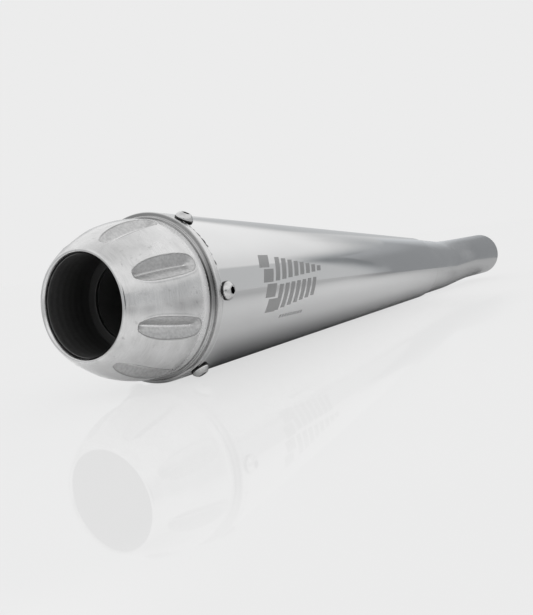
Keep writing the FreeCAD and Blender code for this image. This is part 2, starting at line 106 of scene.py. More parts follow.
# The spigot that goes into the shell. Its gap and wall are depths under the shell's surface.
SPIGOT_END = 22
SPIGOT_GAP = 1.3
SPIGOT_WALL = 5.5

# The flutes. Their valley runs between two along positions, and a flute is widest at its waist. The
# curve has the powers that shape its outline.
FLUTE_COUNT = 8
FLUTE_DEPTH = 4.4
FLUTE_HALF_WIDTH = 6.6
FLUTE_VALLEY = (-46.2, -14.5)
FLUTE_ENDS = (1.6, 6.3)
FLUTE_WAIST = -29
FLUTE_REACH = (21, 24)
FLUTE_CURVE = (2.6, 0.588)
FLUTE_BLUNT = 0.15
FLUTE_RIM = 0.16
FLUTE_LIP = 0.10
FLUTE_LINE = 0.42

# Painted shade in the flange's steps, by along position plus a fifth of the radius, darkest at one angle.
GRIME_PLACES = (6.9, 7.0, 7.2, 7.35, 7.8, 8.7, 9.5, 9.8, 9.9)
GRIME_DEPTHS = (0.80, 0.80, 0.78, 0.56, 0.56, 0.66, 0.70, 0.55, 0.0)
GRIME_SLANT = 0.2
GRIME_MIDDLE = 9
GRIME_SPREAD = 21

# Dents in the shell's edge at the flange, worst at one angle.
NICK_MIDDLE = 36
NICK_SPREAD = 26
EDGE_GAP = 0.06

# The cap screws' heads and washers.
SCREW_COUNT = 6
SCREW_ALONG = 9.3
HEAD_RADIUS = 5.25
HEAD_RIM = 0.7
HEAD_HEIGHT = 3.3
HEAD_FLAT = 2.9
SOCKET_SIZE = 4
SOCKET_DEPTH = 2.2
WASHER_RADIUS = 5.5
WASHER_BORE = 3.2
WASHER_THICK = 0.8

# The hanger: a saddle plate on the shell, a welded tab, a rubber bush and a steel tube.
HANGER_ALONG = 193
SADDLE_HALF = 33
SADDLE_ANGLE = 21
SADDLE_CORNER = 7
SADDLE_THICK = 2
SADDLE_GAP = 0.03
TAB_FOOT = 25
TAB_HALF_THICK = 2
TAB_NOSE = 15
TAB_REACH = 17
TAB_EDGE = 0.45
BEAD_LEG = 3
RIPPLE_HEIGHT = 0.16
RIPPLE_PITCH = 1.7
BUSH_SEAT = 9
BUSH_LIP = 12
BUSH_HALF = 7
BUSH_GAP = 0.05
TUBE_RADIUS = 6
TUBE_BORE = 4.2
TUBE_HALF = 8

# The etched pattern. Each row of bars has a count, the first bar's left edge, low end and high end,
# what every next bar adds to those, and a width.
MARK_ROWS = ((8, (66, 2.5, 17.5), (8.4, 0.6, -1.0), 5.6),
             (7, (72, -15.5, 0.2), (7.8, 0.9, 0.35), 5.2),
             (4, (46, 11, 19), (5, -9, -9), 12),
             (9, (84, -21.4, -19.4), (3.6, 0, 0), 2.2))
MARK_RADIUS = 45.5
MARK_LEAN = 0.45
MARK_LIFT = 0.05

# The studio. Distances are in metres, and tones are linear.
CAMERA_LENS = 46.829
CAMERA_AT = (-0.938666, -0.292685, 0.043440)
CAMERA_DEGREES = (85.5153, 7.4211, -57.9995)
STAGE_RADIUS = 7
BOUNCE_RADIUS = 0.7
BOUNCE_DROP = 0.0002
CARD_SIZE = (0.19, 0.23, 1)
CARD_PAST_INLET = (0.082, -0.035, 0.055)
WHITE = 0.8388
FLOOR_GLOW = 0.73
FLOOR_PAINT = 0.10
FLOOR_GLOSS = 0.11
PANEL_TURN = 40
PANEL_RISE = 6
PANEL_WIDE = 11
PANEL_TALL = 20
PANEL_TONE = 0.08


def mount(name):
    """Where a mount of the record is, and its unit axis."""
    found = next(m for m in frame["record"]["mounts"] if m["name"] == name)
    return Vector(found["pos_m"]), Vector(found["axis"]).normalized()


def axes(origin, along, up):
    """A matrix from millimetres along, across and up to metres in the row frame."""
    across = up.cross(along).normalized()
    turn = Matrix((along, across, along.cross(across))).transposed().to_4x4()
    return Matrix.Translation(origin) @ turn @ Matrix.Scale(MM, 4)


OUTLET_AT, OUTLET_WAY = mount("outlet")
INLET_AT, INLET_WAY = mount("inlet")
HANGER_WAY = mount("hanger")[1]
ALONG = -OUTLET_WAY
BODY = axes(OUTLET_AT + ALONG * MOUTH_ALONG * MM, ALONG, HANGER_WAY)
PIPE = axes(INLET_AT - INLET_WAY * PIPE_LENGTH * MM, INLET_WAY, Vector((0, 0, 1)))
FLOOR_Z = cad_bounds[0].z


# Meshes


def cone_radius(along, inward=0.0):
    """The radius of the shell's outer surface, or of a surface under it."""
    return CONE_RADIUS - CONE_TAPER * along - inward


def arc(centre, radius, start, end, count):
    """Points on an arc from one along position to another, on the side away from the axis."""
    middle, height = centre
    first = math.acos((start - middle) / radius)
    last = math.acos((end - middle) / radius)
    turns = np.linspace(first, last, count)
    return [(middle + radius * math.cos(t), height + radius * math.sin(t), 0) for t in turns]


def rounded(corners, step=15):
    """A closed section. Each corner is (along, radius, fillet), and fillets become short arcs."""
    points = []
    total = len(corners)
    for index, (along, radius, fillet) in enumerate(corners):
        here = np.array((along, radius), float)
        if fillet <= 0:
            points.append(here)
            continue
        before = np.array(corners[index - 1][:2], float) - here
        after = np.array(corners[(index + 1) % total][:2], float) - here
        before /= np.linalg.norm(before)
        after /= np.linalg.norm(after)
        half = math.acos(np.clip(before @ after, -1, 1)) / 2
        reach = fillet / math.tan(half)
        centre = here + (before + after) / np.linalg.norm(before + after) * fillet / math.sin(half)
        start = here + before * reach - centre
        end = here + after * reach - centre
        swing = math.pi - 2 * half
        count = max(2, round(math.degrees(swing) / step) + 1)
        for share in np.linspace(0, 1, count):
            lean = math.sin((1 - share) * swing) * start + math.sin(share * swing) * end
            points.append(centre + lean / math.sin(swing))
    return np.array(points)


def round_axis(along, radius, turns):
    """Points at along positions, radii and angles in radians."""
    return np.stack((along, -radius * np.cos(turns), radius * np.sin(turns)), axis=-1)


def angle_of(rings):
    """The angle of each point round the axis, in radians."""
    return np.arctan2(rings[..., 2], -rings[..., 1])


def turned(section, steps):
    """Rings of a section turned about the along axis, as an array of rings by steps by 3."""
    section = np.asarray(section, float)[:, :2]
    along = np.repeat(section[:, :1], steps, axis=1)
    return round_axis(along, section[:, 1:], np.arange(steps) * 2 * math.pi / steps)


def skin(rings, loop=True, first_tip=None, last_tip=None):
    """Points and faces of a skin over rings. A loop joins its last ring to its first."""
    rows, steps = rings.shape[:2]
    points = rings.reshape(-1, 3).tolist()
    faces = []
    for row in range(rows if loop else rows - 1):
        here = row * steps
        there = (row + 1) % rows * steps
        for step in range(steps):
            beside = (step + 1) % steps
            faces.append((here + step, here + beside, there + beside, there + step))
    for tip, base in ((first_tip, 0), (last_tip, (rows - 1) * steps)):
        if tip is None:
            continue
        points.append(list(tip))
        last = len(points) - 1
        faces += [(base + s, base + (s + 1) % steps, last) for s in range(steps)]
    return points, faces


def piece(name, shape, material, slot, nodes=(), place=BODY, crease=35, **shares):
    """A finished mesh piece that rides on the root body. Its shape is points and faces, and its
    shares are values kept on the points."""
    points, faces = shape
    mesh = bpy.data.meshes.new(name)
    mesh.from_pydata([place @ Vector(p) for p in points], [], faces)
    mesh.validate()
    tidy_normals(mesh)
    for share, values in shares.items():
        attribute = mesh.attributes.new(share, "FLOAT", "POINT")
        attribute.data.foreach_set("value", np.resize(np.asarray(values, np.float32), len(mesh.vertices)))
    mesh.shade_smooth()
    mesh.set_sharp_from_angle(angle=math.radians(crease))
    mesh.materials.append(material)
    made = bpy.data.objects.new(name, mesh)
    bpy.context.scene.collection.objects.link(made)
    weighted = made.modifiers.new("weighted_normals", "WEIGHTED_NORMAL")
    weighted.keep_sharp = True
    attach(made, ROOT)
    if nodes:
        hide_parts(*nodes)


def tidy_normals(mesh):
    """Turns every face outwards."""
    work = bmesh.new()
    work.from_mesh(mesh)
    bmesh.ops.recalc_face_normals(work, faces=work.faces)
    work.to_mesh(mesh)
    work.free()


def soft_min(a, b, blend):
    """The smaller of two values, rounded off where they are within blend of each other."""
    share = np.clip(0.5 + 0.5 * (b - a) / blend, 0, 1)
    return b * (1 - share) + a * share - blend * share * (1 - share)


def bell(value, middle, width):
    """1 at the middle, and falling smoothly to either side."""
    return np.exp(-(((value - middle) / width) ** 2))


def ramp(value, start, length):
    """0 up to a start, and 1 from a length after it."""
    return np.clip((value - start) / length, 0, 1)


def between(first, last, count):
    """Evenly spaced points between two points."""
    return [first * (1 - t) + last * t for t in np.linspace(0, 1, count + 2)[1:-1]]


def grain(points, size):
    """A smooth pseudo-random height from -1 to 1, the same on each run."""
    total = 0
    for index in range(6):
        angle = 2.4 * index
        way = np.array((math.cos(angle), math.sin(angle), math.sin(1.7 * angle + 0.4)))
        total = total + np.sin(points @ way * 2 * math.pi / size * (1 + 0.37 * index) + 1.3 * index)
    return total / 6


# Nodes


class Graph:
    """Builds a node tree with short calls. A value is a number, a colour or another node's output."""

    def __init__(self, tree):
        self.tree = tree
        tree.nodes.clear()

    def add(self, kind, values=None, **settings):
        node = self.tree.nodes.new(kind)
        for key, value in settings.items():
            setattr(node, key, value)
        for key, value in (values or {}).items():
            self.join(value, node.inputs[key])
        return node

    def end(self, shader, kind="ShaderNodeOutputMaterial"):
        """Joins a shader to the tree's output."""
        self.join(shader.outputs[0], self.add(kind).inputs["Surface"])

    def join(self, value, socket):
        if isinstance(value, bpy.types.NodeSocket):
            self.tree.links.new(value, socket)
        else:
            socket.default_value = value

    def maths(self, operation, *values):
        return self.add("ShaderNodeMath", dict(enumerate(values)), operation=operation).outputs[0]

    def times(self, a, b):
        return self.maths("MULTIPLY", a, b)

    def plus(self, a, b):
        return self.maths("ADD", a, b)

    def minus(self, a, b):
        return self.maths("SUBTRACT", a, b)

    def most(self, a, b):
        return self.maths("MAXIMUM", a, b)

    def spread(self, value, low, high, to_low=0.0, to_high=1.0, smooth=True):
        """Moves a value from one range to another, held at the ends."""
        keys = ("Value", "From Min", "From Max", "To Min", "To Max")
        values = dict(zip(keys, (value, low, high, to_low, to_high)))
        kind = "SMOOTHSTEP" if smooth else "LINEAR"
        return self.add("ShaderNodeMapRange", values, interpolation_type=kind).outputs["Result"]

    def levels(self, noise, low, high):
        """Noise that is stretched to run from a low to a high level."""
        return self.spread(noise, 0.3, 0.7, low, high)

    def blend(self, share, first, second):
        """The colour on the way from first to second."""
        node = self.add("ShaderNodeMix", data_type="RGBA")
        for key, value in (("Factor_Float", share), ("A_Color", first), ("B_Color", second)):
            self.join(value, next(s for s in node.inputs if s.identifier == key))
        return next(s for s in node.outputs if s.identifier == "Result_Color")

    def mix(self, share, first, second):
        """The number on the way from first to second."""
        return self.plus(first, self.times(share, self.minus(second, first)))

    def parts(self, kind):
        """The three parts of a coordinate."""
        where = self.add("ShaderNodeTexCoord").outputs[kind]
        return self.add("ShaderNodeSeparateXYZ", {"Vector": where}).outputs

    def place(self, scale=(1, 1, 1)):
        """Row-frame coordinates turned to the silencer's axis and stretched."""
        where = self.add("ShaderNodeTexCoord").outputs["Object"]
        lean = math.asin(OUTLET_WAY.z)
        turned_to = self.add("ShaderNodeMapping", {"Vector": where, "Rotation": (0, -lean, 0)})
        return self.add("ShaderNodeMapping", {"Vector": turned_to.outputs[0], "Scale": scale}).outputs[0]

    def noise(self, size, detail=3.0, stretch=(1, 1, 1), rough=0.55):
        """Noise with features of a size in millimetres, drawn out by stretch along each axis."""
        scale = tuple(1 / (size * MM * s) for s in stretch)
        values = {"Vector": self.place(scale), "Scale": 1.0, "Detail": detail, "Roughness": rough}
        return self.add("ShaderNodeTexNoise", values).outputs["Fac"]

    def share(self, name):
        """A value from 0 to 1 that piece() kept on the mesh's points."""
        return self.add("ShaderNodeAttribute", attribute_name=name).outputs["Fac"]

    def bump(self, height, depth, under=None):
        """Bump of a depth in millimetres, over another bump."""
        values = {"Height": height, "Distance": depth * MM, "Strength": 1.0}
        if under is not None:
            values["Normal"] = under
        return self.add("ShaderNodeBump", values).outputs["Normal"]


def grey(level, cool=0.0):
    return (level * (1 - cool), level, level * (1 + cool), 1)


def new_material(name):
    material = bpy.data.materials.new(name)
    material.use_nodes = True
    return material, Graph(material.node_tree)


def finish(name, draw, metallic=1.0):
    """A material. Its draw function returns a colour, roughness and normal, and may add a metallic share."""
    material, graph = new_material(name)
    shader = graph.add("ShaderNodeBsdfPrincipled")
    shader.inputs["Metallic"].default_value = metallic
    graph.end(shader)
    for key, value in zip(("Base Color", "Roughness", "Normal", "Metallic"), draw(graph)):
        graph.join(value, shader.inputs[key])
    return material


# Materials


def polished_steel(g):
    """Mirror-polished sheet: faint waves, smudges and hairline scratches."""
    smudge = g.noise(28, 4, (2.5, 1, 1))
    streak = g.noise(0.5, 2, (40, 1, 1))
    rough = g.spread(smudge, 0.35, 0.75, 0.045, 0.115)
    rough = g.plus(rough, g.spread(streak, 0.55, 0.8, 0.0, 0.05))
    colour = g.blend(g.noise(60, 2), grey(0.60, 0.004), grey(0.66, 0.002))
    # Painted shade in the nicks of the shell's edge.
    colour = g.blend(g.share("nick"), colour, grey(0.02))
    waves = g.bump(g.noise(45, 1, (2, 1, 1)), 0.10)
    return colour, rough, g.bump(streak, 0.0004, waves)


def brushed_steel(g):
    """The inlet end: the same sheet with a softer, linished finish."""
    smudge = g.noise(20, 4, (2, 1, 1))
    streak = g.noise(0.5, 2, (1, 30, 30))
    rough = g.spread(smudge, 0.35, 0.7, 0.15, 0.24)
    rough = g.plus(rough, g.spread(streak, 0.5, 0.8, 0.0, 0.05))
    colour = g.blend(g.noise(40, 3), grey(0.58, 0.004), grey(0.66, 0.002))
    waves = g.bump(g.noise(30, 1, (1.5, 1, 1)), 0.08)
    return colour, rough, g.bump(streak, 0.0008, waves)


def cast_alloy(g):
    """Cast aluminium: polished outside, pitted in the flutes, turned on the flange, with painted shade inside
    the mouth and the seam.
    """
    cast = g.share("cast")
    soot = g.share("soot")
    machined = g.share("machined")
    mottle = g.noise(11, 4)
    cloud = g.noise(24, 3)
    brushed = g.noise(0.8, 2, (1, 10, 10))
    turned_lines = g.noise(0.30, 1, (1, 60, 60))
    pits = g.noise(1.5, 4)
    spots = g.noise(3.2, 4)
    rough = g.levels(mottle, 0.13, 0.24)
    rough = g.plus(rough, g.spread(cloud, 0.35, 0.65, -0.02, 0.06))
    rough = g.most(rough, g.times(cast, 0.36))
    rough = g.most(rough, g.times(soot, 0.55))
    rough = g.times(rough, g.spread(machined, 0, 1, 1.0, 0.28))
    bright = g.blend(g.spread(mottle, 0.35, 0.65), grey(0.54), grey(0.66))
    bright = g.blend(g.spread(brushed, 0.35, 0.7), bright, grey(0.60))
    bright = g.blend(g.spread(spots, 0.60, 0.78), bright, grey(0.44))
    dull = g.blend(g.levels(pits, 0.0, 1.0), grey(0.38), grey(0.51))
    colour = g.blend(g.times(cast, 0.85), bright, dull)
    # Painted highlight: a light line along each flute's valley.
    colour = g.blend(g.share("groove"), colour, grey(0.74))
    # Painted shade: a dark line round each flute's rim.
    colour = g.blend(g.share("outline"), colour, grey(0.20))
    # The turned steps: a darker tone with turning lines, the darkness partly painted shade.
    colour = g.blend(machined, colour, g.blend(turned_lines, grey(0.27), grey(0.36)))
    # Painted shade inside the mouth and the seam, darker further in.
    sooted = g.blend(g.share("deep"), g.blend(pits, grey(0.17), grey(0.26)), grey(0.10))
    # Painted highlight: the dome lighter near its base.
    colour = g.blend(soot, g.blend(g.share("burnished"), colour, grey(0.92)), sooted)
    # Painted shade: the flange's steps darkened towards black.
    colour = g.blend(g.share("grime"), colour, grey(0.0))
    metal = g.spread(g.share("worn"), 0, 1, 1.0, 0.45)
    fine = g.bump(g.times(turned_lines, machined), 0.003, g.bump(brushed, 0.0012))
    dents = g.bump(g.times(pits, cast), 0.09, g.bump(mottle, 0.10, fine))
    return colour, rough, dents, metal


def screw_steel(g):
    """Worn steel, with painted shade making its socket black."""
    wear = g.noise(1.6, 4)
    socket = g.share("soot")
    lathe = g.noise(0.25, 2)
    rough = g.spread(wear, 0.35, 0.7, 0.12, 0.30)
    # Painted shade: the socket black.
    colour = g.blend(socket, g.blend(wear, grey(0.46), grey(0.64)), grey(0.02))
    return colour, rough, g.bump(lathe, 0.004, g.bump(wear, 0.03))


def black_oxide(g):
    """Near-black washers, a dark ring under each screw head."""
    wear = g.noise(1.2, 4)
    colour = g.blend(wear, grey(0.015), grey(0.05))
    return colour, g.levels(wear, 0.28, 0.5), g.bump(wear, 0.02)


def weld_metal(g):
    """Bright weld beads with a faint tint."""
    tint = g.noise(6, 3)
    colour = g.blend(tint, (0.50, 0.50, 0.52, 1), (0.62, 0.60, 0.58, 1))
    rough = g.levels(g.noise(1.2, 3), 0.14, 0.34)
    return colour, rough, g.bump(g.noise(0.8, 2), 0.02)


def raw_steel(g):
    """Rolled sheet that was never polished, stained by heat."""
    rolled = g.noise(0.6, 3, (30, 1, 1))
    stain = g.noise(20, 4)
    colour = g.blend(stain, (0.30, 0.27, 0.24, 1), (0.48, 0.47, 0.46, 1))
    rough = g.levels(rolled, 0.30, 0.48)
    return colour, rough, g.bump(rolled, 0.01)


def sooted_steel(g):
    """Steel under exhaust soot."""
    flake = g.noise(2.2, 4)
    colour = g.blend(flake, grey(0.06), grey(0.12))
    return colour, g.levels(flake, 0.55, 0.8), g.bump(flake, 0.05)


def etched_steel(g):
    """Fine matt frost, etched into the polish."""
    frost = g.noise(0.35, 2)
    colour = g.blend(frost, grey(0.30), grey(0.38))
    rough = g.levels(frost, 0.34, 0.48)
    return colour, rough, g.bump(frost, 0.004)


def graphite(g):
    """Pressed graphite sealing ring."""
    flake = g.noise(0.8, 4)
    colour = g.blend(flake, grey(0.03), grey(0.09))
    return colour, g.levels(flake, 0.45, 0.7), g.bump(flake, 0.03)


def wire_mesh(g):
    """Knitted wire, as small round bumps, with painted shade between them."""
    per_metre = 900
    wires = g.add("ShaderNodeTexVoronoi", {"Vector": g.place((per_metre,) * 3), "Scale": 1.0})
    height = g.spread(wires.outputs["Distance"], 0.1, 0.7, 1.0, 0.0)
    # Painted shade: darker between the bumps.
    colour = g.blend(height, grey(0.10), grey(0.45))
    return colour, g.spread(height, 0, 1, 0.6, 0.3), g.bump(height, 0.15)


def steel_wool(g):
    """Matted steel strands along the axis."""
    strand = g.noise(0.35, 5, (8, 1, 1), 0.7)
    colour = g.blend(g.spread(strand, 0.35, 0.65), grey(0.06), grey(0.42))
    return colour, g.levels(strand, 0.65, 0.35), g.bump(strand, 0.25)


def glass_fibre(g):
    """Pale yellow strands wound round the core."""
    strand = g.noise(0.6, 5, (1, 9, 9), 0.65)
    colour = g.blend(strand, (0.60, 0.57, 0.45, 1), (0.83, 0.81, 0.72, 1))
    return colour, g.levels(strand, 0.9, 0.7), g.bump(strand, 0.5)


def bracket_steel(g):
    """Satin stainless plate."""
    rolled = g.noise(0.5, 3, (20, 1, 1))
    stain = g.noise(14, 3)
    colour = g.blend(stain, grey(0.50, 0.01), grey(0.60))
    rough = g.levels(rolled, 0.16, 0.30)
    return colour, rough, g.bump(rolled, 0.006)


def rubber(g):
    """Black rubber with a little dust."""
    skin_marks = g.noise(1.4, 4)
    dust = g.noise(7, 4)
    colour = g.blend(dust, grey(0.012), grey(0.035))
    rough = g.levels(skin_marks, 0.50, 0.72)
    return colour, rough, g.bump(skin_marks, 0.05)


POLISHED = finish("polished_steel", polished_steel)
BRUSHED = finish("brushed_steel", brushed_steel)
ALLOY = finish("cast_alloy", cast_alloy)
SCREW = finish("screw_steel", screw_steel)
BLACK = finish("black_oxide", black_oxide)
WELD = finish("weld_metal", weld_metal)
SOOTED = finish("sooted_steel", sooted_steel, metallic=0.6)
RAW = finish("raw_steel", raw_steel)
ETCHED = finish("etched_steel", etched_steel)
GRAPHITE = finish("graphite", graphite, metallic=0.2)
MESH = finish("wire_mesh", wire_mesh)
WOOL = finish("steel_wool", steel_wool)
FIBRE = finish("glass_fibre", glass_fibre, metallic=0.0)
BRACKET = finish("bracket_steel", bracket_steel)
RUBBER = finish("rubber", rubber, metallic=0.0)


# Pieces


def dome_arc(along):
    """Distance along the dome's arc to an along position, growing towards the flange."""
    return -DOME_CURVE * np.arccos((along - DOME_CENTRE[0]) / DOME_CURVE)


def carve_flutes(rings):
    """Sinks the V-shaped flutes into the dome. Returns the new rings, how far each point sank, and
    how near it is to the line in the valley and to the flute's outline."""
    along = rings[..., 0]
    radius = np.hypot(rings[..., 1], rings[..., 2])
    pitch = 2 * math.pi / FLUTE_COUNT
    across = radius * (angle_of(rings) % pitch - pitch / 2)
    reach = dome_arc(along)
    first, last, waist = (dome_arc(x) for x in (*FLUTE_VALLEY, FLUTE_WAIST))
    before = np.maximum(first - reach, 0) / FLUTE_ENDS[0]
    after = np.maximum(reach - last, 0) / FLUTE_ENDS[1]
    held = np.clip(reach, first, last) - waist
    share = np.abs(held) / np.where(held < 0, *FLUTE_REACH)
    width = FLUTE_HALF_WIDTH * (1 - share ** FLUTE_CURVE[0]) ** FLUTE_CURVE[1]
    depth = FLUTE_DEPTH * np.sqrt(width / FLUTE_HALF_WIDTH)
    # The spread grows from about 0 in the valley to 1 at the flute's edge.
    spread = np.sqrt((across**2 + FLUTE_BLUNT**2) / width**2 + before**2 + after**2)
    sunk = -soft_min(-depth * (1 - spread), 0, FLUTE_RIM)
    sunk = np.where(sunk > 0, sunk, 0) - FLUTE_LIP * bell(spread, 1.13, 0.07)
    # The line in the valley carries a painted highlight.
    groove = bell(across, 0, FLUTE_LINE) * (spread < 0.93) * (before + after < 0.1)
    # The flute's outline carries a painted shade line.
    outline = bell(spread, 0.985, 0.05)
    middle, height = DOME_CENTRE
    lean = (along - middle) / DOME_CURVE
    rise = (radius - height) / DOME_CURVE
    out = rings * np.array((0, 1, 1)) / radius[..., None]
    normal = out * rise[..., None] + np.array((1, 0, 0)) * lean[..., None]
    return rings - normal * sunk[..., None], sunk, groove, outline


def bore_section():
    """The mouth's wall with the turning ridges left by the casting core."""
    points = []
    for along in np.arange(-50.5, -21.5, 0.5):
        ridge = (1 - math.cos(2 * math.pi * along / RIDGE_PITCH)) / 2
        points.append((along, MOUTH_RADIUS + RIDGE_HEIGHT * ridge, 0))
    return points


def cap_section():
    """The end cap's closed section: down the mouth, back through the cavity and the spigot, then over
    the flange and the dome. Also returns the number of points before the dome."""
    rim = cone_radius(CONE_START)
    inside = [(-MOUTH_ALONG, MOUTH_RADIUS, 0.2), *bore_section(), (STOP_START, MOUTH_RADIUS, 0),
              (STOP_START, STOP_RADIUS, 0.3), (STOP_END, STOP_RADIUS, 0.3), (STOP_END, SEAT_RADIUS, 0),
              (SEAT_END, SEAT_RADIUS, 0.3), (SEAT_END, SEAT_OUTSIDE, 0.3), (-39.2, SEAT_OUTSIDE, 0.5)]
    cavity = [(-20, 37.5, 0), (6, 38.9, 0)]
    spigot = [(SPIGOT_END, cone_radius(SPIGOT_END, SPIGOT_WALL), 0.3),
              (SPIGOT_END, cone_radius(SPIGOT_END, SPIGOT_GAP), 0.3),
              (CONE_START, cone_radius(CONE_START, SPIGOT_GAP), 0), (CONE_START, rim, 0.35)]
    flange = [(0.9, rim + 0.12, 0.35), (0.0, 49.55, 0.2), (0.0, 48.2, 0.15), (-0.9, 47.6, 0.15),
              (-1.7, 47.45, 0.1), (-2.2, 47.0, 0.15), (DOME_BASE + 0.1, FLANGE_FOOT, 0.05)]
    dome = arc(DOME_CENTRE, DOME_CURVE, DOME_BASE, DOME_TIP, 112)
    lip = [(-54.0, 30.0, 0.5), (-54.0, 29.0, 0.5)]
    plain = rounded([*inside, *cavity, *spigot, *flange])
    shell = rounded([*flange[-1:], *dome, *lip, inside[0]])
    # Both stretches hold the corners where they meet, so the shell's copies of them are left out.
    return np.concatenate((plain, shell[2:-3])), len(plain)


def roughened(rings, share):
    """Rings of the dome with a cast skin where the share is high."""
    way = rings * np.array((0, 1, 1))
    way = way / np.linalg.norm(way, axis=-1, keepdims=True)
    return rings + way * (share * grain(rings, 4.3) * 0.06)[..., None]


def flange_grime(along, radius, turns):
    """How dark the painted shade in the flange's steps is, for each ring and each angle in degrees."""
    grime = np.interp(along + GRIME_SLANT * radius, GRIME_PLACES, GRIME_DEPTHS)
    return grime[:, None] * (0.15 + 0.98 * bell(turns, GRIME_MIDDLE, GRIME_SPREAD))


def make_end_cap():
    """The cast end cap. Its shares tell the material which of its surfaces a point is on."""
    section, before_dome = cap_section()
    along, radius = section.T
    inner = np.arange(len(section)) < before_dome
    rings = turned(section, 576)
    on_dome = (along <= DOME_BASE + 0.01) & (radius > 30) & ~inner
    carved, sunk, groove, outline = carve_flutes(rings[on_dome])
    pitted = ramp(sunk, 0.1, 0.3) * (1 - groove)
    rings[on_dome] = roughened(carved, pitted)

    # The mouth, the cavity behind it and the seam under the shell take painted shade, darker further in.
    in_mouth = (along > -51.6) & ((radius < MOUTH_RADIUS + 0.8) | ((radius < 45) & inner))
    in_seam = (along > CONE_START - 0.1) & (radius < cone_radius(along, 1))
    on_steps = (along > DOME_BASE + 0.05) & (radius > FLANGE_FOOT - 0.05)
    on_land = (along > -1.75) & (along < -0.85)
    # Painted shade in the flange's steps, darkest at one angle.
    grime = flange_grime(along, radius, np.degrees(angle_of(rings)))

    def every(row):
        """A value for each ring, spread over its points."""
        return np.repeat(row[:, None], rings.shape[1], axis=1)

    def dome(values):
        """Values on the dome, and zero elsewhere."""
        share = np.zeros(rings.shape[:2])
        share[on_dome] = values
        return share

    piece("end_cap", skin(rings), ALLOY, "cast_aluminium", ["end_cap"], crease=50,
          cast=dome(pitted), groove=dome(groove), outline=dome(outline),
          soot=every(in_mouth | in_seam), deep=every(ramp(along, -50, 24)),
          # The turned steps, darkened partly as painted shade.
          machined=every(on_steps & (along < 0.1) & ~on_land),
          grime=grime * every(on_steps & (along < 0.9)),
          # Painted highlight: the dome lighter near its base.
          burnished=dome(ramp(along[on_dome, None], -8.5, 4.5)),
          worn=dome(ramp(along[on_dome, None], -10, 2.5)))


def at_surface(along, degrees):
    """A frame on the cone: its origin on the surface, its third axis straight out of it."""
    turn = math.radians(degrees)
    out = Vector((0, -math.cos(turn), math.sin(turn)))
    across = Vector((0, math.sin(turn), math.cos(turn)))
    normal = (out + Vector((CONE_TAPER, 0, 0))).normalized()
    forward = across.cross(normal)
    foot = Vector((along, 0, 0)) + out * cone_radius(along)
    return BODY @ Matrix.Translation(foot) @ Matrix((forward, across, normal)).transposed().to_4x4()


def hexagon(turns, size):
    """The radius of a hexagon's side at each angle, for a size across its flats."""
    sixth = math.pi / 3
    return size / 2 / np.cos((turns + sixth / 2) % sixth - sixth / 2)


def ring_at(height, radius, turns):
    """Points round the third axis at a height. The radius may differ from point to point."""
    radius = np.broadcast_to(radius, turns.shape)
    return np.stack((radius * np.cos(turns), radius * np.sin(turns), np.full_like(turns, height)), axis=-1)


def make_screw(name, place, roll, nodes):
    """A button-head socket screw's head: the button, a domed top, and a hexagonal socket in it."""
    turns = np.arange(96) * 2 * math.pi / 96 + roll
    swell = HEAD_HEIGHT - HEAD_RIM
    curve = math.hypot((HEAD_RADIUS**2 - HEAD_FLAT**2 + swell**2) / (2 * swell), HEAD_FLAT)
    middle = HEAD_HEIGHT - math.sqrt(curve**2 - HEAD_FLAT**2)
    profile = [(0.0, HEAD_RADIUS - 0.5), (0.0, HEAD_RADIUS - 0.12), (0.12, HEAD_RADIUS),
               (HEAD_RIM - 0.1, HEAD_RADIUS)]
    first = math.acos((HEAD_RADIUS - 0.03) / curve)
    for lean in np.linspace(first, math.acos(HEAD_FLAT / curve), 12):
        profile.append((middle + curve * math.sin(lean), curve * math.cos(lean)))
    hexed = hexagon(turns - roll, SOCKET_SIZE)
    floor = HEAD_HEIGHT - SOCKET_DEPTH
    profile += [(HEAD_HEIGHT, HEAD_FLAT - 0.15), (HEAD_HEIGHT, hexed + 0.14),
                (HEAD_HEIGHT - 0.06, hexed + 0.04), (HEAD_HEIGHT - 0.2, hexed), (floor, hexed)]
    rings = np.array([ring_at(height, radius, turns) for height, radius in profile])
    points, faces = skin(rings, loop=False, first_tip=(0, 0, 0.2), last_tip=(0, 0, floor - 0.5))
    # The socket's points carry painted shade.
    in_socket = np.zeros(len(points))
    in_socket[-2 * len(turns) - 2:] = 1
    in_socket[-2] = 0
    piece(name, (points, faces), SCREW, "screw_steel", nodes, place, soot=in_socket)


def make_screws():
    """Six screws round the shell's edge, each turned a different way on its washer."""
    for index in range(SCREW_COUNT):
        angle = index * 360 / SCREW_COUNT
        seat = at_surface(SCREW_ALONG, angle)
        on_washer = seat @ Matrix.Translation((0, 0, WASHER_THICK))
        roll = math.radians(17 * index + 8)
        make_screw(f"cap_screw_{index + 1}", on_washer, roll, ["cap_screws"])
        corners = [(0.02, WASHER_BORE, 0.08), (0.02, WASHER_RADIUS, 0.15),
                   (WASHER_THICK, WASHER_RADIUS, 0.22), (WASHER_THICK, WASHER_BORE, 0.08)]
        washer = skin(turned(rounded(corners, 30), 72)[..., (1, 2, 0)])
        piece(f"cap_washer_{index + 1}", washer, BLACK, "screw_steel", ["cap_washers"], seat)


